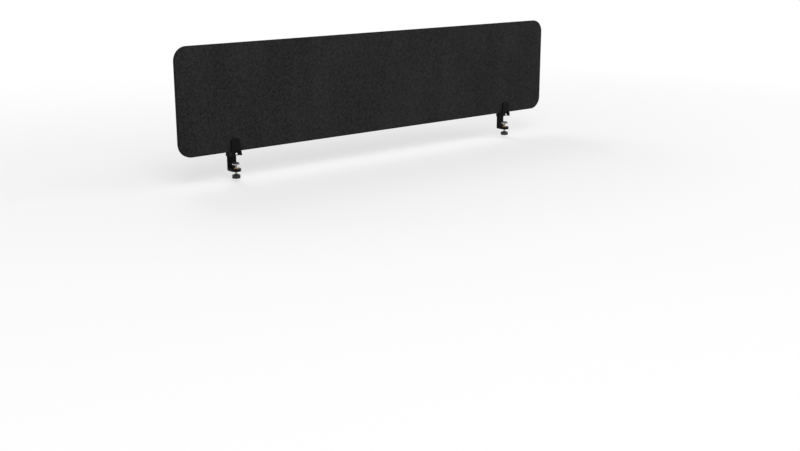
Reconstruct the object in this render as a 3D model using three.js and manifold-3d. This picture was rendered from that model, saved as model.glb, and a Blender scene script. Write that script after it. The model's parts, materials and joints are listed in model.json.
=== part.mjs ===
// Desk privacy panel: a pressed felt screen that stands along the rear edge of a desktop, held
// near its ends by two identical clamp-on brackets.
//
// Millimetres. +X runs along the desk, -Y is the user's side and +Z is up. The origin lies on the
// desktop's upper rear edge, halfway along the panel, so the desktop fills y < 0, z < 0.

import * as THREE from 'three';
import { mergeVertices } from 'three/addons/utils/BufferGeometryUtils.js';
import Module from 'manifold-3d';

const wasm = await Module();
wasm.setup();

// ---- driving dimensions ----------------------------------------------------------------------

const FIT = 0.3; // gap between pieces that touch or run in each other
const THROUGH = 1; // how far a cutting tool runs past the face it opens
const SAME_POINT = 1e-6; // outline points closer than this are one

const DESKTOP_THICKNESS = 25; // the desktop gripped in the rest position

const PANEL_LENGTH = 1800;
const PANEL_HEIGHT = 384;
const PANEL_THICKNESS = 12;
const PANEL_CORNER_RADIUS = 50;
const PANEL_LIFT = 16; // the panel's lower edge above the desktop
const PANEL_SETBACK = 19; // the panel's middle plane in front of the desktop's rear edge

const BRACKET_INSET = 220; // bracket centres from the panel's ends, on average
const BRACKET_SHIFT = 4; // both brackets towards +X of the panel's middle, as fitted

const JAW_HEIGHT = 61.5; // top of both jaws above the desktop
const JAW_BASE_WIDTH = 45.5; // at the desktop, narrowing evenly to the top
const JAW_TOP_WIDTH = 31;
const JAW_BASE_DEPTH = 8.1;
const JAW_TOP_DEPTH = 4.8;
const JAW_TOP_ROUNDING = 3;
const EDGE_RADIUS = 0.8; // small roundings along a casting's lower edges
const JAW_CORNER_RADIUS = 2.5;
const SLIDE_GAP = 0.4; // bracket underside above the desktop

const PAD_THICKNESS = 1.6; // rubber pads between the jaws and the panel
const PAD_PROUD = 0.6; // how far a pad stands out of its jaw
const PAD_MARGIN = 3; // rim of jaw left round a pad

const SEAT_THICKNESS = 2.8; // plate that rests on the desktop under the front jaw
const SEAT_REACH = 25; // how far the plate runs in from the desktop's edge
const SEAT_PAD_THICKNESS = 1;
const SEAT_PAD_WIDTH = 36;
const SEAT_PAD_LENGTH = 18;
const SEAT_PAD_SETBACK = 4; // pad's rear edge from the desktop's edge

const REAR_BASE_FRONT = 8; // rear jaw's base block, in front of the desktop's edge
const OVERHANG_RISE = 4; // slope under the rear jaw, from its base block out to its face
const SHOULDER_RADIUS = 16.2; // bend between the rear jaw's back and the spine
const JAW_GAP = 7; // between the base blocks of the two jaws
const FOOT_CLEARANCE = FIT; // front jaw's foot under the panel

const SPINE_THICKNESS = 5; // wall behind the desktop's edge
const SPINE_WIDTH = 36;
const SPINE_SHOULDER = 6; // height over which the casting narrows to the spine
const ARM_THICKNESS = 10;
const ARM_FILLET = 4;
const CLAMP_SETBACK = 25; // clamp screw's axis from the desktop's edge

const RECESS_WIDTH = 32; // pocket in the front jaw's face round the screw head
const RECESS_DEPTH = 5.5;
const RECESS_HEIGHT = 19.5;
const RECESS_RADIUS = 4;
const BOSS_RADIUS = 5.2; // round boss in the recess that the screw head bears on
const BOSS_HEIGHT = 3.2;
const LIP_STEP = 0.1; // lip of the front jaw in front of the recess floor, so the recess is open below

const JAW_SCREW_RADIUS = 2.5; // M5 x 30 button head
const JAW_SCREW_LENGTH = 30;
const JAW_SCREW_HEIGHT = 7.8; // axis above the desktop
const JAW_HEAD_RADIUS = 4.75;
const JAW_HEAD_HEIGHT = 2.75;
const JAW_HEAD_RIM = 0.6;
const JAW_SOCKET_FLATS = 3;
const JAW_SOCKET_DEPTH = 1.6;
const DOME_STEPS = 6;
const JAW_INSERT_WALL = 0.8;
const JAW_INSERT_LENGTH = 7.7;

const GUIDE_PIN_RADIUS = 2;
const GUIDE_PIN_SPACING = 26;
const GUIDE_PIN_HEIGHT = 9;
const GUIDE_PIN_GRIP = 10; // length pressed into the rear base
const GUIDE_PIN_REACH = 8; // length inside the front jaw
const GUIDE_BORE_DEPTH = 11;

const CLAMP_OPENS = 11; // travel of the pressure foot down from rest
const CLAMP_CLOSES = 10; // and up, with no desktop in the clamp
const CLAMP_SCREW_RADIUS = 4; // M8
const CLAMP_TIP_RADIUS = 3;
const CLAMP_GROOVE_RADIUS = 2.2;
const CLAMP_TIP_HEAD = 0.5; // thickness of the tip above the clip's groove
const FOOT_PAD_THICKNESS = 2;
const FOOT_PAD_RADIUS = 12;
const FOOT_RADIUS = 14;
const FOOT_THICKNESS = 5;
const FOOT_WELL_RADIUS = 7;
const FOOT_WELL_DEPTH = 2.6;
const CLIP_RADIUS = 5.5;
const CLIP_THICKNESS = 1;
const BUSH_WALL = 2.7; // threaded bush in the arm
const BUSH_FLANGE_WIDTH = 2;
const BUSH_FLANGE_THICKNESS = 2;

const KNOB_RADIUS = 16;
const KNOB_LOBES = 6;
const KNOB_LOBE_DEPTH = 1.3;
const KNOB_LOBE_STEPS = 8;
const KNOB_HEIGHT = 12;
const KNOB_COLLAR_WALL = 4.2;
const KNOB_COLLAR_HEIGHT = 3;
const KNOB_BEVEL = 1.5;
const KNOB_FLOOR = 2; // plastic left below the screw's end

const CHORD_ERROR = 0.05; // how far a straight step may cut inside a rounded corner
const LEAST_ARC_STEPS = 3;
const CHAMFER_SHARE = 0.2; // a turned end's chamfer, as a share of its radius or thickness
const ROUND_STEPS = 24; // sides of a turned piece

// ---- dimensions worked out from them ---------------------------------------------------------

const panelFront = -PANEL_SETBACK - PANEL_THICKNESS / 2;
const panelRear = -PANEL_SETBACK + PANEL_THICKNESS / 2;
const bracketReach = PANEL_LENGTH / 2 - BRACKET_INSET;

const jawStandOff = FIT + PAD_PROUD; // jaw face from the panel
const frontJawInner = panelFront - jawStandOff;
const frontJawOuter = frontJawInner - JAW_BASE_DEPTH;
const rearJawInner = panelRear + jawStandOff;
const rearBaseFront = -REAR_BASE_FRONT;
const frontFootRear = rearBaseFront - JAW_GAP;
const footTop = PANEL_LIFT - FOOT_CLEARANCE;
const seatTop = SLIDE_GAP + SEAT_THICKNESS;
const recessFloor = frontJawOuter + RECESS_DEPTH;
const underHead = recessFloor - BOSS_HEIGHT - FIT;
const jawInsertRadius = JAW_SCREW_RADIUS + FIT + JAW_INSERT_WALL;
const bushRadius = CLAMP_SCREW_RADIUS + FIT + BUSH_WALL;
const bushFlangeRadius = bushRadius + BUSH_FLANGE_WIDTH;
const knobCollarRadius = CLAMP_SCREW_RADIUS + FIT + KNOB_COLLAR_WALL;

const padBottom = PANEL_LIFT + PAD_MARGIN;
const padTop = JAW_HEIGHT - PAD_MARGIN;
const padSunk = PAD_THICKNESS - PAD_PROUD; // part of the pad inside its jaw

const footPadTop = -DESKTOP_THICKNESS;
const pressureFootTop = footPadTop - FOOT_PAD_THICKNESS - FIT;
const pressureFootBottom = pressureFootTop - FOOT_THICKNESS;
const wellFloor = pressureFootTop - FOOT_WELL_DEPTH;
const clipBottom = wellFloor + FIT;
const clipTop = clipBottom + CLIP_THICKNESS;
const screwShoulder = pressureFootBottom - FIT;
const bushTop = pressureFootBottom - CLAMP_OPENS - FIT;
const armTop = bushTop - BUSH_FLANGE_THICKNESS - FIT;
const armBottom = armTop - ARM_THICKNESS;
const knobTop = armBottom - CLAMP_CLOSES - FIT;
const knobBottom = knobTop - KNOB_COLLAR_HEIGHT - KNOB_HEIGHT;

// Half the width of the tapered jaws at a height above the desktop.
function jawHalfWidth(height) {
  const share = height / JAW_HEIGHT;
  return (JAW_BASE_WIDTH + share * (JAW_TOP_WIDTH - JAW_BASE_WIDTH)) / 2;
}

// ---- materials -------------------------------------------------------------------------------

function paint(color, roughness, metalness) {
  return new THREE.MeshStandardMaterial({ color, roughness, metalness });
}

const felt = paint(0x2a2b2a, 0.95, 0);
const blackCasting = paint(0x1a1a1a, 0.45, 0.1);
const rubber = paint(0x101010, 0.85, 0);
const chrome = paint(0xd2d0cd, 0.12, 1);
const zincSteel = paint(0x9a9b9c, 0.35, 1);
const brass = paint(0xb08d4c, 0.35, 1);
const blackPlastic = paint(0x161616, 0.55, 0);

// ---- solids ----------------------------------------------------------------------------------

// Points round a corner between the corners before and after it.
function roundedCorner(last, here, next, radius) {
  const toLast = last.clone().sub(here).normalize();
  const toNext = next.clone().sub(here).normalize();
  const half = Math.acos(toLast.dot(toNext)) / 2;
  const inward = toLast.clone().add(toNext).normalize();
  const centre = here.clone().addScaledVector(inward, radius / Math.sin(half));
  const start = here.clone().addScaledVector(toLast, radius / Math.tan(half)).sub(centre);
  const turn = Math.sign(toNext.cross(toLast)) * (Math.PI - 2 * half);
  const step = 2 * Math.acos(1 - CHORD_ERROR / radius);
  const steps = Math.max(LEAST_ARC_STEPS, Math.ceil(Math.abs(turn) / step));
  const points = [];
  for (let i = 0; i <= steps; i += 1) {
    const angle = start.angle() + (turn * i) / steps;
    points.push(new THREE.Vector2(Math.cos(angle), Math.sin(angle)).multiplyScalar(radius).add(centre));
  }
  return points;
}

// A closed outline through [u, v] corners given anticlockwise. A third number rounds a corner.
function outline(corners) {
  const places = corners.map(([u, v]) => new THREE.Vector2(u, v));
  const points = corners.flatMap(([, , radius], i) => {
    const last = places.at(i - 1);
    const next = places[(i + 1) % places.length];
    return radius ? roundedCorner(last, places[i], next, radius) : [places[i]];
  });
  const apart = (point, i) => point.distanceTo(points.at(i - 1)) > SAME_POINT;
  return new THREE.Shape(points.filter(apart));
}

function extrusion(shape, depth) {
  return new THREE.ExtrudeGeometry(shape, { depth, bevelEnabled: false });
}

// A side profile in (y, z), swept along X between two places.
function sweptAlongX(shape, x0, x1) {
  const turn = new THREE.Matrix4().set(0, 0, 1, x0, 1, 0, 0, 0, 0, 1, 0, 0, 0, 0, 0, 1);
  return extrusion(shape, x1 - x0).applyMatrix4(turn);
}

// A front view in (x, z), swept along Y between two places.
function sweptAlongY(shape, y0, y1) {
  return extrusion(shape, y1 - y0).rotateX(Math.PI / 2).translate(0, y1, 0);
}

// A plan view in (x, y), swept along Z between two heights.
function sweptAlongZ(shape, z0, z1) {
  return extrusion(shape, z1 - z0).translate(0, 0, z0);
}

function block(x0, x1, y0, y1, z0, z1) {
  const box = new THREE.BoxGeometry(x1 - x0, y1 - y0, z1 - z0);
  return box.translate((x0 + x1) / 2, (y0 + y1) / 2, (z0 + z1) / 2);
}

// A piece turned about a Z axis through (x, y), from [radius, z] points that rise up its outside.
function turned(points, x = 0, y = 0) {
  const profile = points.map(([radius, z]) => new THREE.Vector2(radius, z));
  return new THREE.LatheGeometry(profile, ROUND_STEPS).rotateX(Math.PI / 2).translate(x, y, 0);
}

function rod(radius, z0, z1, x = 0, y = 0) {
  return turned([[0, z0], [radius, z0], [radius, z1], [0, z1]], x, y);
}

// A tube with an open bore: its profile closes on itself.
function tube(bore, radius, z0, z1, x = 0, y = 0) {
  return turned([[bore, z0], [radius, z0], [radius, z1], [bore, z1], [bore, z0]], x, y);
}

// Lays a piece turned about Z down so that its +Z points towards -Y, on an axis at x and height z.
function facingFront(geometry, x, z) {
  return geometry.rotateX(Math.PI / 2).translate(x, 0, z);
}

// The same geometry as a manifold-3d solid.
function solid(geometry) {
  const bare = geometry.clone();
  bare.deleteAttribute('normal');
  bare.deleteAttribute('uv');
  const welded = mergeVertices(bare);
  const triVerts = new Uint32Array(welded.index.array);
  const vertProperties = new Float32Array(welded.attributes.position.array);
  return new wasm.Manifold(new wasm.Mesh({ numProp: 3, vertProperties, triVerts }));
}

function geometryOf(body) {
  const mesh = body.getMesh();
  const geometry = new THREE.BufferGeometry();
  geometry.setAttribute('position', new THREE.BufferAttribute(mesh.vertProperties, 3));
  geometry.setIndex(new THREE.BufferAttribute(mesh.triVerts, 1));
  const flat = geometry.toNonIndexed();
  flat.computeVertexNormals();
  return flat;
}

// The first geometry with each of the others cut away.
function cut(geometry, ...tools) {
  return geometryOf(tools.reduce((body, tool) => body.subtract(solid(tool)), solid(geometry)));
}

function common(a, b) {
  return geometryOf(solid(a).intersect(solid(b)));
}

function joined(a, b) {
  return geometryOf(solid(a).add(solid(b)));
}

// ---- the felt panel --------------------------------------------------------------------------

function feltPanel() {
  const half = PANEL_LENGTH / 2;
  const top = PANEL_LIFT + PANEL_HEIGHT;
  const face = outline([
    [-half, PANEL_LIFT, PANEL_CORNER_RADIUS],
    [half, PANEL_LIFT, PANEL_CORNER_RADIUS],
    [half, top, PANEL_CORNER_RADIUS],
    [-half, top, PANEL_CORNER_RADIUS],
  ]);
  return sweptAlongY(face, panelFront, panelRear);
}

// ---- jaws and their pads ---------------------------------------------------------------------

// The tapered front view of a jaw from a height upwards, narrowed on every side by a margin.
function jawView(bottom, top, margin, radius) {
  const low = jawHalfWidth(bottom) - margin;
  const high = jawHalfWidth(top) - margin;
  return outline([[-low, bottom], [low, bottom], [high, top, radius], [-high, top, radius]]);
}

// A rubber pad's block, or, with a clearance, the pocket that holds it.
function padBlock(y0, y1, clearance) {
  const margin = PAD_MARGIN - clearance;
  const radius = JAW_CORNER_RADIUS;
  return sweptAlongY(jawView(padBottom - clearance, padTop + clearance, margin, radius), y0, y1);
}

function frontPad() {
  const face = panelFront - FIT;
  return padBlock(face - PAD_THICKNESS, face, 0);
}

function rearPad() {
  const face = panelRear + FIT;
  return padBlock(face, face + PAD_THICKNESS, 0);
}

function guidePinPlaces() {
  return [-GUIDE_PIN_SPACING / 2, GUIDE_PIN_SPACING / 2];
}

// A bore along Y between two places.
function bore(radius, x, z, y0, y1) {
  return facingFront(rod(radius, -y1, -y0), x, z);
}

function frontJaw() {
  const lipRear = recessFloor - LIP_STEP;
  const footBottom = seatTop + FIT;
  const topOuter = frontJawInner - JAW_TOP_DEPTH;
  const side = outline([
    [frontJawOuter, SLIDE_GAP, EDGE_RADIUS],
    [lipRear, SLIDE_GAP],
    [lipRear, footBottom],
    [frontFootRear, footBottom],
    [frontFootRear, footTop, EDGE_RADIUS],
    [frontJawInner, footTop],
    [frontJawInner, JAW_HEIGHT],
    [topOuter, JAW_HEIGHT, JAW_TOP_ROUNDING],
  ]);
  const half = JAW_BASE_WIDTH / 2;
  const body = common(
    sweptAlongX(side, -half - THROUGH, half + THROUGH),
    sweptAlongY(
      jawView(0, JAW_HEIGHT, 0, JAW_CORNER_RADIUS),
      frontJawOuter - THROUGH,
      frontFootRear + THROUGH,
    ),
  );
  const recess = outline([
    [-RECESS_WIDTH / 2, -THROUGH],
    [RECESS_WIDTH / 2, -THROUGH],
    [RECESS_WIDTH / 2, RECESS_HEIGHT, RECESS_RADIUS],
    [-RECESS_WIDTH / 2, RECESS_HEIGHT, RECESS_RADIUS],
  ]);
  const bossFace = underHead + FIT;
  const boss = bore(BOSS_RADIUS, 0, JAW_SCREW_HEIGHT, bossFace, recessFloor + THROUGH);
  const rear = frontFootRear + THROUGH;
  const guideBores = guidePinPlaces().map((x) =>
    bore(GUIDE_PIN_RADIUS + FIT, x, GUIDE_PIN_HEIGHT, frontFootRear - GUIDE_BORE_DEPTH, rear));
  return cut(
    body,
    cut(sweptAlongY(recess, frontJawOuter - THROUGH, recessFloor), boss),
    padBlock(frontJawInner - padSunk - FIT, frontJawInner + THROUGH, FIT),
    bore(JAW_SCREW_RADIUS + FIT, 0, JAW_SCREW_HEIGHT, underHead - THROUGH, rear),
    ...guideBores,
  );
}

// ---- the fixed casting: rear jaw, seat plate, spine and lower arm ----------------------------

function clampArm() {
  const half = SPINE_WIDTH / 2;
  const end = -CLAMP_SETBACK - half;
  const plan = outline([[half, 0], [-half, 0], [-half, end, half], [half, end, half]]);
  return sweptAlongZ(plan, armBottom, armTop);
}

function castingProfile() {
  const topOuter = rearJawInner + JAW_TOP_DEPTH;
  return outline([
    [-SEAT_REACH, SLIDE_GAP],
    [0, SLIDE_GAP],
    [0, armTop, ARM_FILLET],
    [-CLAMP_SETBACK / 2, armTop],
    [-CLAMP_SETBACK / 2, armBottom],
    [SPINE_THICKNESS, armBottom, SPINE_THICKNESS],
    [SPINE_THICKNESS, PANEL_LIFT, SHOULDER_RADIUS],
    [topOuter, JAW_HEIGHT, JAW_TOP_ROUNDING],
    [rearJawInner, JAW_HEIGHT],
    [rearJawInner, PANEL_LIFT],
    [rearBaseFront, PANEL_LIFT - OVERHANG_RISE],
    [rearBaseFront, seatTop],
    [-SEAT_REACH, seatTop, EDGE_RADIUS],
  ]);
}

function castingView() {
  const base = JAW_BASE_WIDTH / 2;
  const top = jawHalfWidth(JAW_HEIGHT);
  const spine = SPINE_WIDTH / 2;
  return outline([
    [-spine, armBottom],
    [spine, armBottom],
    [spine, -SPINE_SHOULDER],
    [base, 0],
    [top, JAW_HEIGHT, JAW_CORNER_RADIUS],
    [-top, JAW_HEIGHT, JAW_CORNER_RADIUS],
    [-base, 0],
    [-spine, -SPINE_SHOULDER],
  ]);
}

function clampFrame() {
  const half = JAW_BASE_WIDTH / 2;
  const upper = common(
    sweptAlongX(castingProfile(), -half - THROUGH, half + THROUGH),
    sweptAlongY(castingView(), -SEAT_REACH - THROUGH, SPINE_THICKNESS + THROUGH),
  );
  const insertEnd = rearBaseFront + JAW_INSERT_LENGTH + FIT;
  const screwEnd = Math.max(underHead + JAW_SCREW_LENGTH, insertEnd);
  const front = rearBaseFront - THROUGH;
  const pinBores = guidePinPlaces().map((x) =>
    bore(GUIDE_PIN_RADIUS + FIT, x, GUIDE_PIN_HEIGHT, front, rearBaseFront + GUIDE_PIN_GRIP + FIT));
  const seatPadHalf = SEAT_PAD_WIDTH / 2 + FIT;
  const seatPadRear = -SEAT_PAD_SETBACK + FIT;
  return cut(
    joined(upper, clampArm()),
    padBlock(rearJawInner - THROUGH, rearJawInner + padSunk + FIT, FIT),
    bore(jawInsertRadius + FIT, 0, JAW_SCREW_HEIGHT, front, insertEnd),
    bore(JAW_SCREW_RADIUS + FIT, 0, JAW_SCREW_HEIGHT, insertEnd - THROUGH, screwEnd + FIT),
    ...pinBores,
    block(
      -seatPadHalf,
      seatPadHalf,
      seatPadRear - SEAT_PAD_LENGTH - 2 * FIT,
      seatPadRear,
      SLIDE_GAP - THROUGH,
      SEAT_PAD_THICKNESS + FIT,
    ),
    rod(bushRadius + FIT, armBottom - THROUGH, armTop + THROUGH, 0, -CLAMP_SETBACK),
  );
}

function seatPad() {
  const half = SEAT_PAD_WIDTH / 2;
  const rear = -SEAT_PAD_SETBACK;
  return block(-half, half, rear - SEAT_PAD_LENGTH, rear, 0, SEAT_PAD_THICKNESS);
}

// ---- the horizontal screw that closes the jaws -----------------------------------------------

// A prism across the given flats, about Z.
function hexagon(flats, z0, z1) {
  const radius = flats / Math.sqrt(3);
  const prism = new THREE.CylinderGeometry(radius, radius, z1 - z0, 6);
  return prism.rotateX(Math.PI / 2).translate(0, 0, (z0 + z1) / 2);
}

// Turned with its head upwards and the underside of the head at z = 0, then laid down.
function jawScrew() {
  const chamfer = CHAMFER_SHARE * JAW_SCREW_RADIUS;
  const rise = JAW_HEAD_HEIGHT - JAW_HEAD_RIM;
  const domeRadius = (JAW_HEAD_RADIUS ** 2 + rise ** 2) / (2 * rise);
  const dome = [];
  const reach = Math.asin(JAW_HEAD_RADIUS / domeRadius);
  for (let i = 0; i < DOME_STEPS; i += 1) {
    const angle = reach * (1 - i / DOME_STEPS);
    const height = JAW_HEAD_HEIGHT - domeRadius * (1 - Math.cos(angle));
    dome.push([domeRadius * Math.sin(angle), height]);
  }
  const body = turned([
    [0, -JAW_SCREW_LENGTH],
    [JAW_SCREW_RADIUS - chamfer, -JAW_SCREW_LENGTH],
    [JAW_SCREW_RADIUS, -JAW_SCREW_LENGTH + chamfer],
    [JAW_SCREW_RADIUS, 0],
    [JAW_HEAD_RADIUS, 0],
    ...dome,
    [0, JAW_HEAD_HEIGHT],
  ]);
  const socket = hexagon(
    JAW_SOCKET_FLATS,
    JAW_HEAD_HEIGHT - JAW_SOCKET_DEPTH,
    JAW_HEAD_HEIGHT + THROUGH,
  );
  return facingFront(cut(body, socket), 0, JAW_SCREW_HEIGHT).translate(0, underHead, 0);
}

function jawInsert() {
  const ring = tube(
    JAW_SCREW_RADIUS + FIT,
    jawInsertRadius,
    -rearBaseFront - JAW_INSERT_LENGTH,
    -rearBaseFront,
  );
  return facingFront(ring, 0, JAW_SCREW_HEIGHT);
}

function guidePin(x) {
  const rear = rearBaseFront + GUIDE_PIN_GRIP;
  const front = frontFootRear - GUIDE_PIN_REACH;
  const chamfer = CHAMFER_SHARE * GUIDE_PIN_RADIUS;
  const pin = turned([
    [0, -rear],
    [GUIDE_PIN_RADIUS - chamfer, -rear],
    [GUIDE_PIN_RADIUS, -rear + chamfer],
    [GUIDE_PIN_RADIUS, -front - chamfer],
    [GUIDE_PIN_RADIUS - chamfer, -front],
    [0, -front],
  ]);
  return facingFront(pin, x, GUIDE_PIN_HEIGHT);
}

// ---- the vertical screw that clamps the desktop ----------------------------------------------

function footPad() {
  return rod(FOOT_PAD_RADIUS, footPadTop - FOOT_PAD_THICKNESS, footPadTop, 0, -CLAMP_SETBACK);
}

// A disc with a well for the clip in its top and a bore for the screw's tip.
function pressureFoot() {
  const bottom = pressureFootBottom;
  const hole = CLAMP_TIP_RADIUS + FIT;
  const chamfer = CHAMFER_SHARE * FOOT_THICKNESS;
  const profile = [
    [hole, bottom],
    [FOOT_RADIUS - chamfer, bottom],
    [FOOT_RADIUS, bottom + chamfer],
    [FOOT_RADIUS, pressureFootTop],
    [FOOT_WELL_RADIUS, pressureFootTop],
    [FOOT_WELL_RADIUS, wellFloor],
    [hole, wellFloor],
    [hole, bottom],
  ];
  return turned(profile, 0, -CLAMP_SETBACK);
}

function footClip() {
  const hole = CLAMP_GROOVE_RADIUS + FIT;
  return tube(hole, CLIP_RADIUS, clipBottom, clipTop, 0, -CLAMP_SETBACK);
}

function clampScrew() {
  const end = knobBottom + KNOB_FLOOR + FIT;
  const chamfer = CHAMFER_SHARE * CLAMP_SCREW_RADIUS;
  const grooveTop = clipTop + FIT;
  const profile = [
    [0, end],
    [CLAMP_SCREW_RADIUS - chamfer, end],
    [CLAMP_SCREW_RADIUS, end + chamfer],
    [CLAMP_SCREW_RADIUS, screwShoulder - chamfer],
    [CLAMP_SCREW_RADIUS - chamfer, screwShoulder],
    [CLAMP_TIP_RADIUS, screwShoulder],
    [CLAMP_TIP_RADIUS, clipBottom - FIT],
    [CLAMP_GROOVE_RADIUS, clipBottom - FIT],
    [CLAMP_GROOVE_RADIUS, grooveTop],
    [CLAMP_TIP_RADIUS, grooveTop],
    [CLAMP_TIP_RADIUS, grooveTop + CLAMP_TIP_HEAD],
    [0, grooveTop + CLAMP_TIP_HEAD],
  ];
  return turned(profile, 0, -CLAMP_SETBACK);
}

function threadedBush() {
  const bottom = armBottom;
  const hole = CLAMP_SCREW_RADIUS + FIT;
  const flangeBottom = bushTop - BUSH_FLANGE_THICKNESS;
  const profile = [
    [hole, bottom],
    [bushRadius, bottom],
    [bushRadius, flangeBottom],
    [bushFlangeRadius, flangeBottom],
    [bushFlangeRadius, bushTop],
    [hole, bushTop],
    [hole, bottom],
  ];
  return turned(profile, 0, -CLAMP_SETBACK);
}

// A lobed grip, bevelled at both ends, with a round collar on top and a blind bore for the screw.
function knob() {
  const grip = new THREE.Shape();
  const steps = KNOB_LOBE_STEPS * KNOB_LOBES;
  const middle = KNOB_RADIUS - KNOB_BEVEL - KNOB_LOBE_DEPTH / 2;
  for (let i = 0; i < steps; i += 1) {
    const angle = (2 * Math.PI * i) / steps;
    const radius = middle + (KNOB_LOBE_DEPTH / 2) * Math.cos(KNOB_LOBES * angle);
    const x = radius * Math.cos(angle);
    const y = radius * Math.sin(angle);
    if (i) grip.lineTo(x, y);
    else grip.moveTo(x, y);
  }
  const bevel = { bevelThickness: KNOB_BEVEL, bevelSize: KNOB_BEVEL, bevelSegments: 2 };
  const depth = KNOB_HEIGHT - 2 * KNOB_BEVEL;
  const body = new THREE.ExtrudeGeometry(grip, { depth, ...bevel });
  body.translate(0, -CLAMP_SETBACK, knobBottom + KNOB_BEVEL);
  const collarBottom = knobBottom + KNOB_HEIGHT - THROUGH;
  const collar = rod(knobCollarRadius, collarBottom, knobTop, 0, -CLAMP_SETBACK);
  const hole = CLAMP_SCREW_RADIUS + FIT;
  const well = rod(hole, knobBottom + KNOB_FLOOR, knobTop + THROUGH, 0, -CLAMP_SETBACK);
  return cut(joined(body, collar), well);
}

// ---- assembly --------------------------------------------------------------------------------

function piece(name, geometry, material) {
  const mesh = new THREE.Mesh(geometry, material);
  mesh.name = name;
  return mesh;
}

function bracket(side) {
  const group = new THREE.Group();
  group.add(
    piece(`${side}_clamp_frame`, clampFrame(), blackCasting),
    piece(`${side}_rear_jaw_pad`, rearPad(), rubber),
    piece(`${side}_seat_pad`, seatPad(), rubber),
    piece(`${side}_jaw_insert`, jawInsert(), brass),
    piece(`${side}_threaded_bush`, threadedBush(), brass),
    piece(`${side}_front_jaw`, frontJaw(), blackCasting),
    piece(`${side}_front_jaw_pad`, frontPad(), rubber),
    piece(`${side}_jaw_screw`, jawScrew(), chrome),
    piece(`${side}_pressure_foot`, pressureFoot(), zincSteel),
    piece(`${side}_foot_pad`, footPad(), rubber),
    piece(`${side}_foot_clip`, footClip(), zincSteel),
    piece(`${side}_clamp_screw`, clampScrew(), zincSteel),
    piece(`${side}_clamp_knob`, knob(), blackPlastic),
  );
  const ends = ['a', 'b'];
  guidePinPlaces().forEach((x, i) => {
    group.add(piece(`${side}_guide_pin_${ends[i]}`, guidePin(x), zincSteel));
  });
  return group;
}

const screen = new THREE.Group();
screen.add(piece('felt_panel', feltPanel(), felt));
for (const [side, reach] of [['left', -bracketReach], ['right', bracketReach]]) {
  const clamp = bracket(side);
  clamp.position.x = BRACKET_SHIFT + reach;
  screen.add(clamp);
}

export default screen;
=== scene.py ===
"""Looks for the desk privacy panel: a pressed felt screen held by two clamp-on brackets.

Everything is in metres in the frame's own axes: +X along the panel, -Y the user's side, +Z up.
"""

import json
import math

import bpy
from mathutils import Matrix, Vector, noise

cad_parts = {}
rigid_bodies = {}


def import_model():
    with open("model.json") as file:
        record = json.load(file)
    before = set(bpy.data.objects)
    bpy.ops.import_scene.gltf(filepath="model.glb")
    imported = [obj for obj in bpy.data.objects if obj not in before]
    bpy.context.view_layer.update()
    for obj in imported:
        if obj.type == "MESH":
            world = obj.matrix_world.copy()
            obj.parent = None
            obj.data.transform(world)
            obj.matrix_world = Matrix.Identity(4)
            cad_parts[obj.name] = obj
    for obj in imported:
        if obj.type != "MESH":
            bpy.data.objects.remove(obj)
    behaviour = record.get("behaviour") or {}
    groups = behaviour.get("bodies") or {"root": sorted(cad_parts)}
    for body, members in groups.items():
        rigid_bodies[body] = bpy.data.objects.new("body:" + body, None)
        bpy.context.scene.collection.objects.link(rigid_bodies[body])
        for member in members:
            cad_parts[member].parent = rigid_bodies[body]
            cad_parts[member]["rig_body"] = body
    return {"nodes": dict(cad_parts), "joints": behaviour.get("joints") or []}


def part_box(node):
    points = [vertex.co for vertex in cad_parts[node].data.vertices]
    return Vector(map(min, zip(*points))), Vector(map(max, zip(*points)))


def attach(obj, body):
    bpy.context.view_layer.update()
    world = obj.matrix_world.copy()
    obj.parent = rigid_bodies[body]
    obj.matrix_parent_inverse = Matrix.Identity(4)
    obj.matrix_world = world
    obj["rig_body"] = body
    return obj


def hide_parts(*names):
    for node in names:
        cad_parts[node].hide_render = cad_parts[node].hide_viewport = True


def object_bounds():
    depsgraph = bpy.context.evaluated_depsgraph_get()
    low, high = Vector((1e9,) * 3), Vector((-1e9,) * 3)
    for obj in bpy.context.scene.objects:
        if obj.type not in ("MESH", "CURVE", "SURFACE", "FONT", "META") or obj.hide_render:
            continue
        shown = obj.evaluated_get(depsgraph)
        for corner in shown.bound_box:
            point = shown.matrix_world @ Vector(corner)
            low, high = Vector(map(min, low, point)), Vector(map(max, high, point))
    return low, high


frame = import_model()
cad_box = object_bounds()

MM = 0.001
SIDES = ("left", "right")

# ---- sizes that the frame's boxes don't give ----------------------------------------------------

PANEL_CORNER = 50 * MM
FELT_RIM = 1.8 * MM  # rounding of the felt's cut edge
FELT_RIM_STEPS = 5
FELT_CORNER_STEPS = 14
FELT_CELL = 7 * MM  # mesh cells on the felt's faces
FELT_WALL_STEPS = 3
FELT_WAVE = 0.12 * MM  # how deep the pressed faces dip
FELT_BROAD_WAVES = 22  # dips to a metre
FELT_FINE_WAVES = 70
FIBRE_DIRECTIONS = 6

CASTING_EDGE = 0.55 * MM
PAD_EDGE = 0.35 * MM
EDGE_ANGLE = math.radians(32)  # edges sharper than this are rounded off
EDGE_SEGMENTS = 3
FLAT_ANGLE = math.radians(0.5)
FLAT_WEIGHT = 80  # how far large faces pull the shading flat
WELD = 0.002 * MM

EASE = 0.25 * MM  # rounding of turned edges
EASE_STEPS = 3
FINE_STEPS = 64
PIN_STEPS = 32
FIT = 0.3 * MM

JAW_SCREW_RADIUS = 2.5 * MM
JAW_SCREW_PITCH = 0.8 * MM
JAW_HEAD_HEIGHT = 2.75 * MM
JAW_HEAD_RIM = 0.6 * MM
JAW_SOCKET_APOTHEM = 1.5 * MM
JAW_SOCKET_DEPTH = 1.6 * MM
SOCKET_SIDES = 6
SOCKET_CHAMFER = 0.15 * MM
HEAD_STEPS = 60
DOME_STEPS = 8

INSERT_BORE = 2.8 * MM
PIN_CHAMFER = 0.4 * MM

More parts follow.
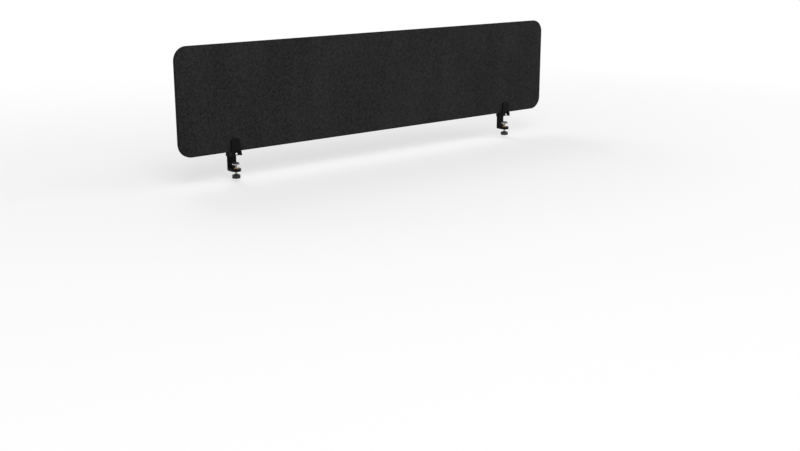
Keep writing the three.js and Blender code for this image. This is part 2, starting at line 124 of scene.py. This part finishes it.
CLAMP_SCREW_PITCH = 1.25 * MM
CLAMP_TIP_RADIUS = 3 * MM
CLAMP_GROOVE_RADIUS = 2.2 * MM
THREAD_STEPS = 32
THREAD_ROWS = 6  # rows to one turn of a thread
THREAD_DEPTH = 0.61  # as a share of the pitch
THREAD_CREST = 0.2  # flat crest and root, as shares of the pitch

FOOT_BORE = 3.3 * MM
FOOT_WELL_RADIUS = 7 * MM
FOOT_WELL_DEPTH = 2.6 * MM
FOOT_CHAMFER = 1 * MM
PAD_GROOVES = (4.5 * MM, 7 * MM, 9.5 * MM)
PAD_GROOVE_WIDTH = 0.9 * MM
PAD_GROOVE_DEPTH = 0.35 * MM
CLIP_BORE = 2.5 * MM
BUSH_RADIUS = 7 * MM
BUSH_BORE = 4.3 * MM
BUSH_FLANGE = 2 * MM

KNOB_LOBES = 6
KNOB_LOBE_DEPTH = 1.3 * MM
KNOB_HEIGHT = 12 * MM
KNOB_BEVEL = 1.5 * MM
KNOB_COLLAR_RADIUS = 8.5 * MM
KNOB_COLLAR_FILLET = 1.2 * MM
KNOB_FLOOR = 2 * MM
KNOB_DISH_RADIUS = 10 * MM
KNOB_DISH_DEPTH = 0.6 * MM
KNOB_STEPS = 96


# ---- shader helpers -----------------------------------------------------------------------------

def linear(red, green, blue):
    """A colour written in 0-255 screen values, as the linear values that a shader takes."""
    def channel(value):
        share = value / 255
        return share / 12.92 if share <= 0.04045 else ((share + 0.055) / 1.055) ** 2.4

    return (channel(red), channel(green), channel(blue), 1)


def add_node(tree, kind, inputs=None, **settings):
    """A new shader node. Inputs are numbers, colours, or the sockets that feed them."""
    node = tree.nodes.new(kind)
    for key, value in settings.items():
        setattr(node, key, value)
    for key, value in (inputs or {}).items():
        if isinstance(value, bpy.types.NodeSocket):
            tree.links.new(value, node.inputs[key])
        else:
            node.inputs[key].default_value = value
    return node


def grain(tree, scale, stretch=(1, 1, 1), turn=(0, 0, 0), detail=3, roughness=0.55):
    """Noise in the piece's own metres: scale is features per metre, stretched and turned."""
    place = add_node(tree, "ShaderNodeTexCoord")
    turned = add_node(tree, "ShaderNodeMapping", {"Vector": place.outputs["Object"], "Rotation": turn})
    sized = add_node(tree, "ShaderNodeMapping", {"Vector": turned.outputs[0], "Scale": stretch})
    inputs = {"Vector": sized.outputs[0], "Scale": scale, "Detail": detail, "Roughness": roughness}
    return add_node(tree, "ShaderNodeTexNoise", inputs).outputs["Fac"]


def remap(tree, value, low, high, to_low=0.0, to_high=1.0):
    inputs = {"Value": value, "From Min": low, "From Max": high, "To Min": to_low, "To Max": to_high}
    return add_node(tree, "ShaderNodeMapRange", inputs).outputs["Result"]


def math_node(tree, operation, first, second):
    return add_node(tree, "ShaderNodeMath", {0: first, 1: second}, operation=operation).outputs[0]


def weighted(tree, parts):
    """The sum of sockets, each times its weight."""
    total = None
    for value, weight in parts:
        share = math_node(tree, "MULTIPLY", value, weight)
        total = share if total is None else math_node(tree, "ADD", total, share)
    return total


def mixed(tree, factor, first, second):
    inputs = {"Factor": factor, 6: first, 7: second}
    return add_node(tree, "ShaderNodeMix", inputs, data_type="RGBA").outputs[2]


def bump(tree, height, distance, strength=1.0):
    inputs = {"Height": height, "Distance": distance, "Strength": strength}
    return add_node(tree, "ShaderNodeBump", inputs).outputs["Normal"]


def edge_mask(tree, radius):
    """One on edges that hands and tools rub, nought on flats: how far a rounded normal leans away."""
    rounded = add_node(tree, "ShaderNodeBevel", {"Radius": radius}, samples=6).outputs["Normal"]
    true = add_node(tree, "ShaderNodeNewGeometry").outputs["True Normal"]
    along = add_node(tree, "ShaderNodeVectorMath", {0: rounded, 1: true}, operation="DOT_PRODUCT")
    return remap(tree, along.outputs["Value"], 0.985, 0.85)


def new_material(name, **fixed):
    """A material and its tree and shader, with the shader's uniform values set on its sockets."""
    material = bpy.data.materials.new(name)
    material.use_nodes = True
    tree = material.node_tree
    shader = tree.nodes["Principled BSDF"]
    for key, value in fixed.items():
        shader.inputs[key.replace("_", " ")].default_value = value
    return material, tree, shader


def feed(tree, shader, **sockets):
    for key, value in sockets.items():
        tree.links.new(value, shader.inputs[key.replace("_", " ")])


# ---- materials ----------------------------------------------------------------------------------

def felt_fibres(tree):
    """Short pale fibres lying every way: thin stretched grains, the brightest of all directions."""
    fibres = None
    for i in range(FIBRE_DIRECTIONS):
        lie = (0, math.pi * (i + 0.3) / FIBRE_DIRECTIONS, 0)
        strand = grain(tree, 160, stretch=(1, 4, 11), turn=lie, detail=1)
        strand = remap(tree, strand, 0.62, 0.74)
        fibres = strand if fibres is None else math_node(tree, "MAXIMUM", fibres, strand)
    return fibres


def felt_material():
    material, tree, shader = new_material(
        "pressed_felt", Roughness=0.95, Specular_IOR_Level=0.06,
        Sheen_Weight=0.02, Sheen_Roughness=0.6)
    clouds = grain(tree, 9, stretch=(1, 1, 0.3), detail=3)
    mottle = grain(tree, 150, stretch=(1, 1, 0.85), detail=3, roughness=0.65)
    flecks = remap(tree, grain(tree, 210, detail=2), 0.58, 0.74)
    fibres = felt_fibres(tree)
    tone = weighted(tree, [(remap(tree, clouds, 0.35, 0.65), 0.14), (remap(tree, mottle, 0.36, 0.64), 0.5),
                           (flecks, 0.16), (fibres, 0.2)])
    colour = mixed(tree, tone, linear(17, 18, 17), linear(54, 55, 54))
    tint = remap(tree, grain(tree, 40, turn=(1, 2, 3)), 0.4, 0.6)
    colour = mixed(tree, math_node(tree, "MULTIPLY", tint, 0.25), colour, linear(34, 36, 35))
    relief = weighted(tree, [(mottle, 0.5), (flecks, 0.2), (fibres, 0.35)])
    feed(tree, shader, Base_Color=colour, Normal=bump(tree, relief, 0.5 * MM, 0.8))
    return material


def cut_felt_material():
    """The felt's cut edge and its rounded rims: darker than the faces, with the layers that it was pressed
    from.
    """
    material, tree, shader = new_material(
        "cut_felt", Roughness=0.9, Specular_IOR_Level=0.08, Sheen_Weight=0.03)
    layers = grain(tree, 60, stretch=(1, 18, 1), detail=3)
    pores = grain(tree, 500, detail=3)
    tone = weighted(tree, [(remap(tree, layers, 0.3, 0.7), 0.6), (remap(tree, pores, 0.35, 0.7), 0.4)])
    colour = mixed(tree, tone, linear(14, 15, 15), linear(31, 32, 32))
    relief = weighted(tree, [(layers, 0.6), (pores, 0.4)])
    feed(tree, shader, Base_Color=colour, Normal=bump(tree, relief, 0.4 * MM, 0.9))
    return material


def casting_material():
    """Satin black powder coat: a fine orange peel, rubbed a little smoother and paler at the edges."""
    material, tree, shader = new_material("black_powder_coat", Specular_IOR_Level=0.06)
    peel = grain(tree, 1400, detail=2)
    patches = grain(tree, 60, detail=4)
    rub = math_node(tree, "MULTIPLY", edge_mask(tree, 0.9 * MM), remap(tree, patches, 0.35, 0.6))
    colour = mixed(tree, remap(tree, patches, 0.3, 0.7), linear(11, 11, 11), linear(16, 16, 16))
    colour = mixed(tree, math_node(tree, "MULTIPLY", rub, 0.5), colour, linear(42, 42, 41))
    rough = weighted(tree, [(patches, 0.18), (peel, 0.1)])
    rough = math_node(tree, "ADD", rough, 0.3)
    feed(tree, shader, Base_Color=colour, Roughness=rough, Normal=bump(tree, peel, 0.05 * MM, 0.5))
    return material


def rubber_material():
    material, tree, shader = new_material("black_rubber", Specular_IOR_Level=0.25)
    dust = grain(tree, 90, detail=5)
    skin = grain(tree, 1800, detail=2)
    colour = mixed(tree, remap(tree, dust, 0.35, 0.75), linear(17, 17, 17), linear(33, 33, 32))
    rough = remap(tree, dust, 0.3, 0.7, 0.72, 0.9)
    feed(tree, shader, Base_Color=colour, Roughness=rough, Normal=bump(tree, skin, 0.06 * MM, 0.7))
    return material


def metal_material(name, dark, light, low, high, brush, distance):
    """Bare or plated metal with fine turning marks, a duller bloom in patches and rubbed edges."""
    material, tree, shader = new_material(name, Metallic=1)
    bloom = grain(tree, 220, detail=4)
    marks = grain(tree, 900, stretch=brush, detail=3)
    rub = edge_mask(tree, 0.3 * MM)
    colour = mixed(tree, remap(tree, bloom, 0.3, 0.7), dark, light)
    colour = mixed(tree, math_node(tree, "MULTIPLY", rub, 0.35), colour, light)
    rough = weighted(tree, [(remap(tree, bloom, 0.3, 0.7, low, high), 1), (marks, 0.06)])
    feed(tree, shader, Base_Color=colour, Roughness=rough, Normal=bump(tree, marks, distance, 0.5))
    return material


def plastic_material():
    """Moulded black plastic with a fine spark-eroded texture and handled, shinier edges."""
    material, tree, shader = new_material("moulded_plastic", Specular_IOR_Level=0.35)
    pits = grain(tree, 2200, detail=2)
    haze = grain(tree, 120, detail=4)
    rub = edge_mask(tree, 0.8 * MM)
    colour = mixed(tree, remap(tree, haze, 0.3, 0.7), linear(20, 20, 20), linear(28, 28, 28))
    colour = mixed(tree, math_node(tree, "MULTIPLY", rub, 0.3), colour, linear(46, 46, 46))
    rough = weighted(tree, [(remap(tree, haze, 0.3, 0.7, 0.48, 0.62), 1), (rub, -0.12)])
    feed(tree, shader, Base_Color=colour, Roughness=rough, Normal=bump(tree, pits, 0.05 * MM, 0.6))
    return material


felt = felt_material()
cut_felt = cut_felt_material()
casting = casting_material()
rubber = rubber_material()
plastic = plastic_material()
chrome = metal_material("bright_plate", linear(160, 160, 159), linear(190, 189, 187), 0.12, 0.22,
                        (1, 0.3, 1), 0.01 * MM)
zinc = metal_material("zinc_plate", linear(150, 152, 155), linear(190, 189, 184), 0.28, 0.42,
                      (1, 1, 0.3), 0.02 * MM)
brass = metal_material("turned_brass", linear(163, 128, 70), linear(205, 170, 100), 0.25, 0.4,
                       (1, 1, 0.3), 0.02 * MM)


# ---- mesh helpers -------------------------------------------------------------------------------

def smooth_normals(piece):
    """Smooth shading that keeps large flats flat."""
    modifier = piece.modifiers.new("flat faces stay flat", "WEIGHTED_NORMAL")
    modifier.weight = FLAT_WEIGHT
    modifier.keep_sharp = True


def mesh_piece(name, points, faces, *materials):
    mesh = bpy.data.meshes.new(name)
    mesh.from_pydata(points, [], faces)
    for material in materials:
        mesh.materials.append(material)
    mesh.polygons.foreach_set("use_smooth", [True] * len(mesh.polygons))
    mesh.validate()
    mesh.update()
    piece = bpy.data.objects.new(name, mesh)
    bpy.context.scene.collection.objects.link(piece)
    smooth_normals(piece)
    return piece


def stands_for(piece, node):
    """The piece rides where its CAD node does and is shown in its place."""
    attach(piece, frame["nodes"][node]["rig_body"])
    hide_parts(node)
    return piece


def eased(profile, radius=EASE, closed=False):
    """A [radius, height] profile with its corners rounded off. Its ends stay unless it is closed."""
    corners = [Vector(point) for point in profile]
    rounded = []
    for i, here in enumerate(corners):
        if not closed and i in (0, len(corners) - 1):
            rounded.append(tuple(here))
            continue
        to_last = corners[i - 1] - here
        to_next = corners[(i + 1) % len(corners)] - here
        reach = min(radius, 0.4 * to_last.length, 0.4 * to_next.length)
        start = here + to_last.normalized() * reach
        end = here + to_next.normalized() * reach
        for step in range(EASE_STEPS + 1):
            t = step / EASE_STEPS
            point = start * (1 - t) ** 2 + here * 2 * t * (1 - t) + end * t ** 2
            rounded.append(tuple(point))
    return rounded


def turned(name, rows, steps, centre, material, ring=False, faces_front=False):
    """A piece turned about its axis. A row is [radius, height] or a function of the angle giving it.

    The rows go up the outside. A solid's first and last rows lie on the axis, a ring's join up.
    faces_front lays the axis down, so that what was up points to -Y.
    """
    points, loops = [], []
    for row in rows:
        on_axis = not callable(row) and row[0] == 0
        loop = []
        for i in range(1 if on_axis else steps):
            angle = 2 * math.pi * i / steps
            radius, height = row(angle) if callable(row) else row
            point = Vector((radius * math.cos(angle), radius * math.sin(angle), height))
            if faces_front:
                point = Vector((point.x, -point.z, point.y))
            loop.append(len(points))
            points.append(centre + point)
        loops.append(loop)
    faces = []
    pairs = list(zip(loops, loops[1:]))
    if ring:
        pairs.append((loops[-1], loops[0]))
    for low, high in pairs:
        for i in range(steps):
            j = (i + 1) % steps
            if len(low) == 1:
                faces.append((low[0], high[j], high[i]))
            elif len(high) == 1:
                faces.append((low[i], low[j], high[0]))
            else:
                faces.append((low[i], low[j], high[j], high[i]))
    return mesh_piece(name, points, faces, material)


def thread_rows(radius, pitch, low, high):
    """Rows of a right-handed thread between two heights."""
    depth = THREAD_DEPTH * pitch

    def row(height):
        def place(angle):
            phase = (height / pitch - angle / (2 * math.pi)) % 1
            slope = (abs(2 * phase - 1) - THREAD_CREST) / (1 - 2 * THREAD_CREST)
            sunk = depth * min(max(slope, 0), 1)
            from_end = min(height - low, high - height)
            return (radius - max(sunk, min(depth, depth - from_end)), height)
        return place

    count = round((high - low) / pitch * THREAD_ROWS)
    return [row(low + (high - low) * i / count) for i in range(count + 1)]


def middle(node):
    low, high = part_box(node)
    return (low + high) / 2


def upright_axis(node):
    """The point at height nought on a node's upright axis."""
    centre = middle(node)
    return Vector((centre.x, centre.y, 0))


# ---- the felt panel -----------------------------------------------------------------------------

def spread(low, high, corner):
    """Places between two ends, stepping by equal angles round both corners: (place, inset) pairs."""
    quarter = math.pi / 2
    bends = []
    for i in range(FELT_CORNER_STEPS):
        angle = quarter * i / FELT_CORNER_STEPS
        bends.append((corner * (1 - math.cos(angle)), corner * (1 - math.sin(angle))))
    run = high - low - 2 * corner
    count = math.ceil(run / FELT_CELL)
    straight = [(low + corner + run * i / count, 0) for i in range(count + 1)]
    starts = [(low + place, inset) for place, inset in bends]
    ends = [(high - place, inset) for place, inset in reversed(bends)]
    return starts + straight + ends


def pressed_dip(x, z, side):
    """How far the pressed face dips at a place."""
    broad = noise.noise(Vector((x * FELT_BROAD_WAVES, z * FELT_BROAD_WAVES, 7 * side)))
    fine = noise.noise(Vector((x * FELT_FINE_WAVES, z * FELT_FINE_WAVES, 3 * side)))
    return FELT_WAVE * (0.5 + 0.35 * broad + 0.3 * fine)


def felt_panel():
    low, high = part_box("felt_panel")
    x0, x1 = low.x + FELT_RIM, high.x - FELT_RIM
    z0, z1 = low.z + FELT_RIM, high.z - FELT_RIM
    corner = PANEL_CORNER - FELT_RIM
    columns = spread(x0, x1, corner)
    rows = math.ceil((z1 - z0) / FELT_CELL)
    points, faces, kinds = [], [], []

    def face_grid(side):
        """Adds one face's points and gives their numbers, column by column."""
        numbers = []
        for x, inset in columns:
            column = []
            for j in range(rows + 1):
                z = z0 + inset + (z1 - z0 - 2 * inset) * j / rows
                rim = j in (0, rows) or x in (x0, x1)
                dip = 0 if rim else pressed_dip(x, z, side)
                y = low.y + dip if side > 0 else high.y - dip
                column.append(len(points))
                points.append(Vector((x, y, z)))
            numbers.append(column)
        return numbers

    def border(grid):
        """A face's border points, in order round it."""
        bottom = [column[0] for column in grid]
        top = [column[-1] for column in grid]
        return bottom + grid[-1][1:-1] + top[::-1] + grid[0][-2:0:-1]

    def outward(point):
        inner = Vector((min(max(point.x, x0 + corner), x1 - corner), 0,
                        min(max(point.z, z0 + corner), z1 - corner)))
        return (Vector((point.x, 0, point.z)) - inner).normalized()

    front, back = face_grid(1), face_grid(-1)
    for i in range(len(columns) - 1):
        for j in range(rows):
            faces.append((front[i][j], front[i + 1][j], front[i + 1][j + 1], front[i][j + 1]))
            faces.append((back[i][j], back[i][j + 1], back[i + 1][j + 1], back[i + 1][j]))
            kinds += [0, 0]

    # Rings round the rim: the front rounding, the cut wall, and the back rounding.
    thickness = high.y - low.y
    rings = []
    for k in range(1, FELT_RIM_STEPS + 1):
        angle = math.pi / 2 * k / FELT_RIM_STEPS
        rings.append((FELT_RIM * math.sin(angle), FELT_RIM * (1 - math.cos(angle))))
    wall = thickness - 2 * FELT_RIM
    rings += [(FELT_RIM, FELT_RIM + wall * k / FELT_WALL_STEPS) for k in range(1, FELT_WALL_STEPS)]
    rings += [(out, thickness - depth) for out, depth in reversed(rings[:FELT_RIM_STEPS])]
    edge = border(front)
    loops = [edge]
    for out, depth in rings:
        loop = []
        for number in edge:
            place = points[number] + outward(points[number]) * out
            loop.append(len(points))
            points.append(Vector((place.x, low.y + depth, place.z)))
        loops.append(loop)
    loops.append(border(back))
    for near, far in zip(loops, loops[1:]):
        for i in range(len(near)):
            j = (i + 1) % len(near)
            faces.append((near[j], near[i], far[i], far[j]))
            kinds.append(1)

    panel = mesh_piece("pressed_felt_panel", points, faces, felt, cut_felt)
    panel.data.polygons.foreach_set("material_index", kinds)
    return stands_for(panel, "felt_panel")


# ---- castings and flat pads, kept from the frame ------------------------------------------------

def soften(node, width, material):
    """Rounds a CAD node's sharp edges with modifiers and gives it its finish."""
    piece = frame["nodes"][node]
    weld = piece.modifiers.new("one skin", "WELD")
    weld.merge_threshold = WELD
    flats = piece.modifiers.new("whole faces", "DECIMATE")
    flats.decimate_type = "DISSOLVE"
    flats.angle_limit = FLAT_ANGLE
    edges = piece.modifiers.new("rounded edges", "BEVEL")
    edges.width = width
    edges.segments = EDGE_SEGMENTS
    edges.limit_method = "ANGLE"
    edges.angle_limit = EDGE_ANGLE
    edges.miter_outer = "MITER_ARC"
    piece.data.polygons.foreach_set("use_smooth", [True] * len(piece.data.polygons))
    smooth_normals(piece)
    piece.material_slots[0].material = material


# ---- the horizontal screw, its insert and the guide pins ----------------------------------------

def jaw_screw(side):
    """M5 button head screw with a hexagon socket, its head towards the user."""
    node = f"{side}_jaw_screw"
    low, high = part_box(node)
    head_radius = (high.x - low.x) / 2
    shank_end = -(high.y - low.y - JAW_HEAD_HEIGHT)
    rise = JAW_HEAD_HEIGHT - JAW_HEAD_RIM
    sphere = (head_radius ** 2 + rise ** 2) / (2 * rise)

    def dome_height(radius):
        return JAW_HEAD_HEIGHT - sphere + math.sqrt(sphere ** 2 - radius ** 2)

    def socket_radius(angle):
        sixth = 2 * math.pi / SOCKET_SIDES
        return JAW_SOCKET_APOTHEM / math.cos(angle % sixth - sixth / 2)

    def dome_row(share):
        def place(angle):
            inner = socket_radius(angle) + SOCKET_CHAMFER
            radius = inner + (head_radius - inner) * share
            return radius, dome_height(radius)
        return place

    def socket_row(height):
        return lambda angle: (socket_radius(angle), height)

    root = JAW_SCREW_RADIUS - THREAD_DEPTH * JAW_SCREW_PITCH
    floor = JAW_HEAD_HEIGHT - JAW_SOCKET_DEPTH
    mouth = dome_height(JAW_SOCKET_APOTHEM) - SOCKET_CHAMFER
    rows = [(0, shank_end), *thread_rows(JAW_SCREW_RADIUS, JAW_SCREW_PITCH, shank_end, -EASE),
            (root, 0), (head_radius - EASE, 0), (head_radius, EASE)]
    rows += [dome_row(1 - i / DOME_STEPS) for i in range(DOME_STEPS + 1)]
    rows += [socket_row(mouth), socket_row(floor), (0, floor - SOCKET_CHAMFER)]
    axis = middle(node)
    under_head = Vector((axis.x, low.y + JAW_HEAD_HEIGHT, axis.z))
    return turned(node + "_m5", rows, HEAD_STEPS, under_head, chrome, faces_front=True)


def front_facing_ring(node, bore, material):
    low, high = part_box(node)
    radius, length = (high.x - low.x) / 2, high.y - low.y
    profile = eased([(bore, 0), (radius, 0), (radius, length), (bore, length)], closed=True)
    end = Vector((middle(node).x, high.y, middle(node).z))
    return turned(node + "_bush", profile, FINE_STEPS, end, material, ring=True, faces_front=True)


def guide_pin(node):
    low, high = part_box(node)
    radius, length = (high.x - low.x) / 2, high.y - low.y
    profile = eased([(0, 0), (radius - PIN_CHAMFER, 0), (radius, PIN_CHAMFER),
                     (radius, length - PIN_CHAMFER), (radius - PIN_CHAMFER, length), (0, length)])
    end = Vector((middle(node).x, high.y, middle(node).z))
    return turned(node + "_dowel", profile, PIN_STEPS, end, zinc, faces_front=True)


# ---- the vertical clamp -------------------------------------------------------------------------

def clamp_screw(side):
    """M8 spindle: thread, plain shoulder, and the grooved tip that the clip holds."""
    node = f"{side}_clamp_screw"
    low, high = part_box(node)
    clip_low, clip_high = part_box(f"{side}_foot_clip")
    radius = (high.x - low.x) / 2
    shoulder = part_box(f"{side}_pressure_foot")[0].z - FIT
    groove_low, groove_high = clip_low.z - FIT, clip_high.z + FIT
    tip = eased([
        (CLAMP_TIP_RADIUS, shoulder),
        (CLAMP_TIP_RADIUS, groove_low),
        (CLAMP_GROOVE_RADIUS, groove_low),
        (CLAMP_GROOVE_RADIUS, groove_high),
        (CLAMP_TIP_RADIUS, groove_high),
        (CLAMP_TIP_RADIUS, high.z),
        (0, high.z),
    ], radius=EASE / 2)
    thread = thread_rows(radius, CLAMP_SCREW_PITCH, low.z, shoulder)
    rows = [(0, low.z), *thread, *tip]
    return turned(node + "_m8", rows, THREAD_STEPS, upright_axis(node), zinc)


def pressure_foot(side):
    node = f"{side}_pressure_foot"
    low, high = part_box(node)
    radius, well = (high.x - low.x) / 2, high.z - FOOT_WELL_DEPTH
    profile = eased([
        (FOOT_BORE, low.z),
        (radius - FOOT_CHAMFER, low.z),
        (radius, low.z + FOOT_CHAMFER),
        (radius, high.z),
        (FOOT_WELL_RADIUS, high.z),
        (FOOT_WELL_RADIUS, well),
        (FOOT_BORE, well),
    ], closed=True)
    return turned(node + "_disc", profile, FINE_STEPS, upright_axis(node), zinc, ring=True)


def foot_pad(side):
    """Rubber disc with shallow rings moulded into the face that grips the desktop."""
    node = f"{side}_foot_pad"
    low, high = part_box(node)
    radius = (high.x - low.x) / 2
    profile = [(0, low.z), (radius, low.z), (radius, high.z)]
    for groove in reversed(PAD_GROOVES):
        outer, inner = groove + PAD_GROOVE_WIDTH / 2, groove - PAD_GROOVE_WIDTH / 2
        floor = high.z - PAD_GROOVE_DEPTH
        profile += [(outer, high.z), (outer, floor), (inner, floor), (inner, high.z)]
    profile.append((0, high.z))
    return turned(node + "_disc", eased(profile), FINE_STEPS, upright_axis(node), rubber)


def upright_ring(node, bore, material):
    low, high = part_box(node)
    radius = (high.x - low.x) / 2
    profile = eased([(bore, low.z), (radius, low.z), (radius, high.z), (bore, high.z)], closed=True)
    return turned(node + "_washer", profile, FINE_STEPS, upright_axis(node), material, ring=True)


def threaded_bush(side):
    node = f"{side}_threaded_bush"
    low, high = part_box(node)
    flange, step = (high.x - low.x) / 2, high.z - BUSH_FLANGE
    profile = eased([(BUSH_BORE, low.z), (BUSH_RADIUS, low.z), (BUSH_RADIUS, step), (flange, step),
                     (flange, high.z), (BUSH_BORE, high.z)], closed=True)
    return turned(node + "_turned", profile, FINE_STEPS, upright_axis(node), brass, ring=True)


def clamp_knob(side):
    """Moulded hand knob: a lobed grip, a collar on top and a shallow dish below."""
    node = f"{side}_clamp_knob"
    low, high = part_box(node)
    outer = (high.x - low.x) / 2
    grip_top = low.z + KNOB_HEIGHT

    def lobed(inset, height):
        def place(angle):
            scallop = KNOB_LOBE_DEPTH / 2 * (1 - math.cos(KNOB_LOBES * angle))
            return outer - inset - scallop, height
        return place

    def bevel(edge, towards):
        """The grip's rounded edge, from its end face to its wall."""
        rows = []
        for i in range(EASE_STEPS * 2 + 1):
            angle = math.pi / 2 * i / (EASE_STEPS * 2)
            inset = KNOB_BEVEL * (1 - math.sin(angle))
            rows.append(lobed(inset, edge + towards * KNOB_BEVEL * (1 - math.cos(angle))))
        return rows

    dish = low.z + KNOB_DISH_DEPTH
    collar = eased([
        (KNOB_COLLAR_RADIUS + KNOB_COLLAR_FILLET, grip_top),
        (KNOB_COLLAR_RADIUS, grip_top),
        (KNOB_COLLAR_RADIUS, high.z),
        (BUSH_BORE, high.z),
        (BUSH_BORE, low.z + KNOB_FLOOR),
        (0, low.z + KNOB_FLOOR),
    ], radius=KNOB_COLLAR_FILLET / 2)
    rim = outer - 2 * KNOB_LOBE_DEPTH - KNOB_BEVEL
    underside = eased([(0, dish), (KNOB_DISH_RADIUS - KNOB_DISH_DEPTH, dish),
                       (KNOB_DISH_RADIUS, low.z), (rim, low.z)])
    rows = [*underside, *bevel(low.z, 1), *reversed(bevel(grip_top, -1)), *collar]
    return turned(node + "_grip", rows, KNOB_STEPS, upright_axis(node), plastic)


# ---- put the object together --------------------------------------------------------------------

def bracket(side):
    soften(f"{side}_clamp_frame", CASTING_EDGE, casting)
    soften(f"{side}_front_jaw", CASTING_EDGE, casting)
    for pad in ("front_jaw_pad", "rear_jaw_pad", "seat_pad"):
        soften(f"{side}_{pad}", PAD_EDGE, rubber)
    stands_for(jaw_screw(side), f"{side}_jaw_screw")
    insert = front_facing_ring(f"{side}_jaw_insert", INSERT_BORE, brass)
    stands_for(insert, f"{side}_jaw_insert")
    for end in "ab":
        pin = f"{side}_guide_pin_{end}"
        stands_for(guide_pin(pin), pin)
    stands_for(clamp_screw(side), f"{side}_clamp_screw")
    stands_for(pressure_foot(side), f"{side}_pressure_foot")
    stands_for(foot_pad(side), f"{side}_foot_pad")
    clip = upright_ring(f"{side}_foot_clip", CLIP_BORE, zinc)
    stands_for(clip, f"{side}_foot_clip")
    stands_for(threaded_bush(side), f"{side}_threaded_bush")
    stands_for(clamp_knob(side), f"{side}_clamp_knob")


felt_panel()
for side in SIDES:
    bracket(side)


# ---- floor, light and camera --------------------------------------------------------------------

FLOOR_REACH = 14.0
FLOOR_FADE = (1.0, 3.2)  # distances over which the floor turns to plain white
FLOOR_SHADE = 0.5  # share of the floor's look that takes light and shadow, the rest is plain white
WORLD_LIGHT = 0.42
SOFTBOX_SIZE = 3.0
SOFTBOXES = {  # place and watts, each facing the origin
    "key": ((-2.2, -3.6, 3.6), 128),
    "fill": ((3.2, -2.6, 2.4), 60),
    "back": ((0.5, 3.6, 2.8), 68),
}
CAMERA_PLACE = Vector((-2.7311, -3.3828, 0.7811))
CAMERA_DIP = math.radians(14.94)  # below level
CAMERA_HEADING = math.radians(-40.05)  # turned from +Y towards +X
CAMERA_LENS = 49.92
SENSOR_WIDTH = 36


def seen_directly(tree):
    """One for rays from the camera, off glossy surfaces and through clear ones."""
    path = add_node(tree, "ShaderNodeLightPath").outputs
    seen = math_node(tree, "ADD", path["Is Camera Ray"], path["Is Glossy Ray"])
    seen = math_node(tree, "ADD", seen, path["Is Transmission Ray"])
    return math_node(tree, "MINIMUM", seen, 1.0)


def floor_material():
    """Pale floor that keeps soft shadows and fades to plain white far from the object."""
    material, tree, shader = new_material(
        "pale_floor", Base_Color=linear(240, 240, 240), Roughness=0.9, Specular_IOR_Level=0.1)
    white = add_node(tree, "ShaderNodeEmission", {"Color": (1, 1, 1, 1), "Strength": 1.0})
    place = add_node(tree, "ShaderNodeTexCoord").outputs["Object"]
    away = add_node(tree, "ShaderNodeVectorMath", {0: place}, operation="LENGTH").outputs["Value"]
    fade = remap(tree, away, *FLOOR_FADE, 1 - FLOOR_SHADE, 1.0)
    share = math_node(tree, "MULTIPLY", fade, seen_directly(tree))
    blend = add_node(tree, "ShaderNodeMixShader", {0: share, 1: shader.outputs[0], 2: white.outputs[0]})
    tree.links.new(blend.outputs[0], tree.nodes["Material Output"].inputs["Surface"])
    return material


def lowest_reach():
    """The height that the clamp knobs come down to at the end of their travel."""
    travel = [joint["range_m"][0] for joint in frame["joints"] if joint["name"].endswith("clamp_travel")]
    return cad_box[0].z + min(travel) - MM


def add_floor():
    corners = [(-1, -1), (1, -1), (1, 1), (-1, 1)]
    mesh = bpy.data.meshes.new("floor")
    mesh.from_pydata([(x * FLOOR_REACH, y * FLOOR_REACH, 0) for x, y in corners], [], [(0, 1, 2, 3)])
    mesh.materials.append(floor_material())
    floor = bpy.data.objects.new("floor", mesh)
    floor.location.z = lowest_reach()
    bpy.context.scene.collection.objects.link(floor)


def add_world():
    """Even studio light all round, seen as a plain white backdrop."""
    world = bpy.data.worlds.new("studio")
    world.use_nodes = True
    tree = world.node_tree
    strength = remap(tree, seen_directly(tree), 0, 1, WORLD_LIGHT, 1.0)
    tree.links.new(strength, tree.nodes["Background"].inputs["Strength"])
    tree.nodes["Background"].inputs["Color"].default_value = (1, 1, 1, 1)
    bpy.context.scene.world = world


def add_softbox(name, place, power):
    lamp = bpy.data.lights.new(name, "AREA")
    lamp.shape = "SQUARE"
    lamp.size = SOFTBOX_SIZE
    lamp.energy = power
    softbox = bpy.data.objects.new(name, lamp)
    softbox.location = place
    softbox.rotation_euler = (-Vector(place)).to_track_quat("-Z", "Y").to_euler()
    bpy.context.scene.collection.objects.link(softbox)


def add_camera():
    data = bpy.data.cameras.new("camera")
    data.sensor_width = SENSOR_WIDTH
    data.lens = CAMERA_LENS
    camera = bpy.data.objects.new("camera", data)
    camera.location = CAMERA_PLACE
    camera.rotation_euler = (math.radians(90) - CAMERA_DIP, 0, CAMERA_HEADING)
    bpy.context.scene.collection.objects.link(camera)
    bpy.context.scene.camera = camera


add_floor()
add_world()
for name, (place, power) in SOFTBOXES.items():
    add_softbox(name, place, power)
add_camera()
bpy.context.scene.view_settings.view_transform = "Standard"
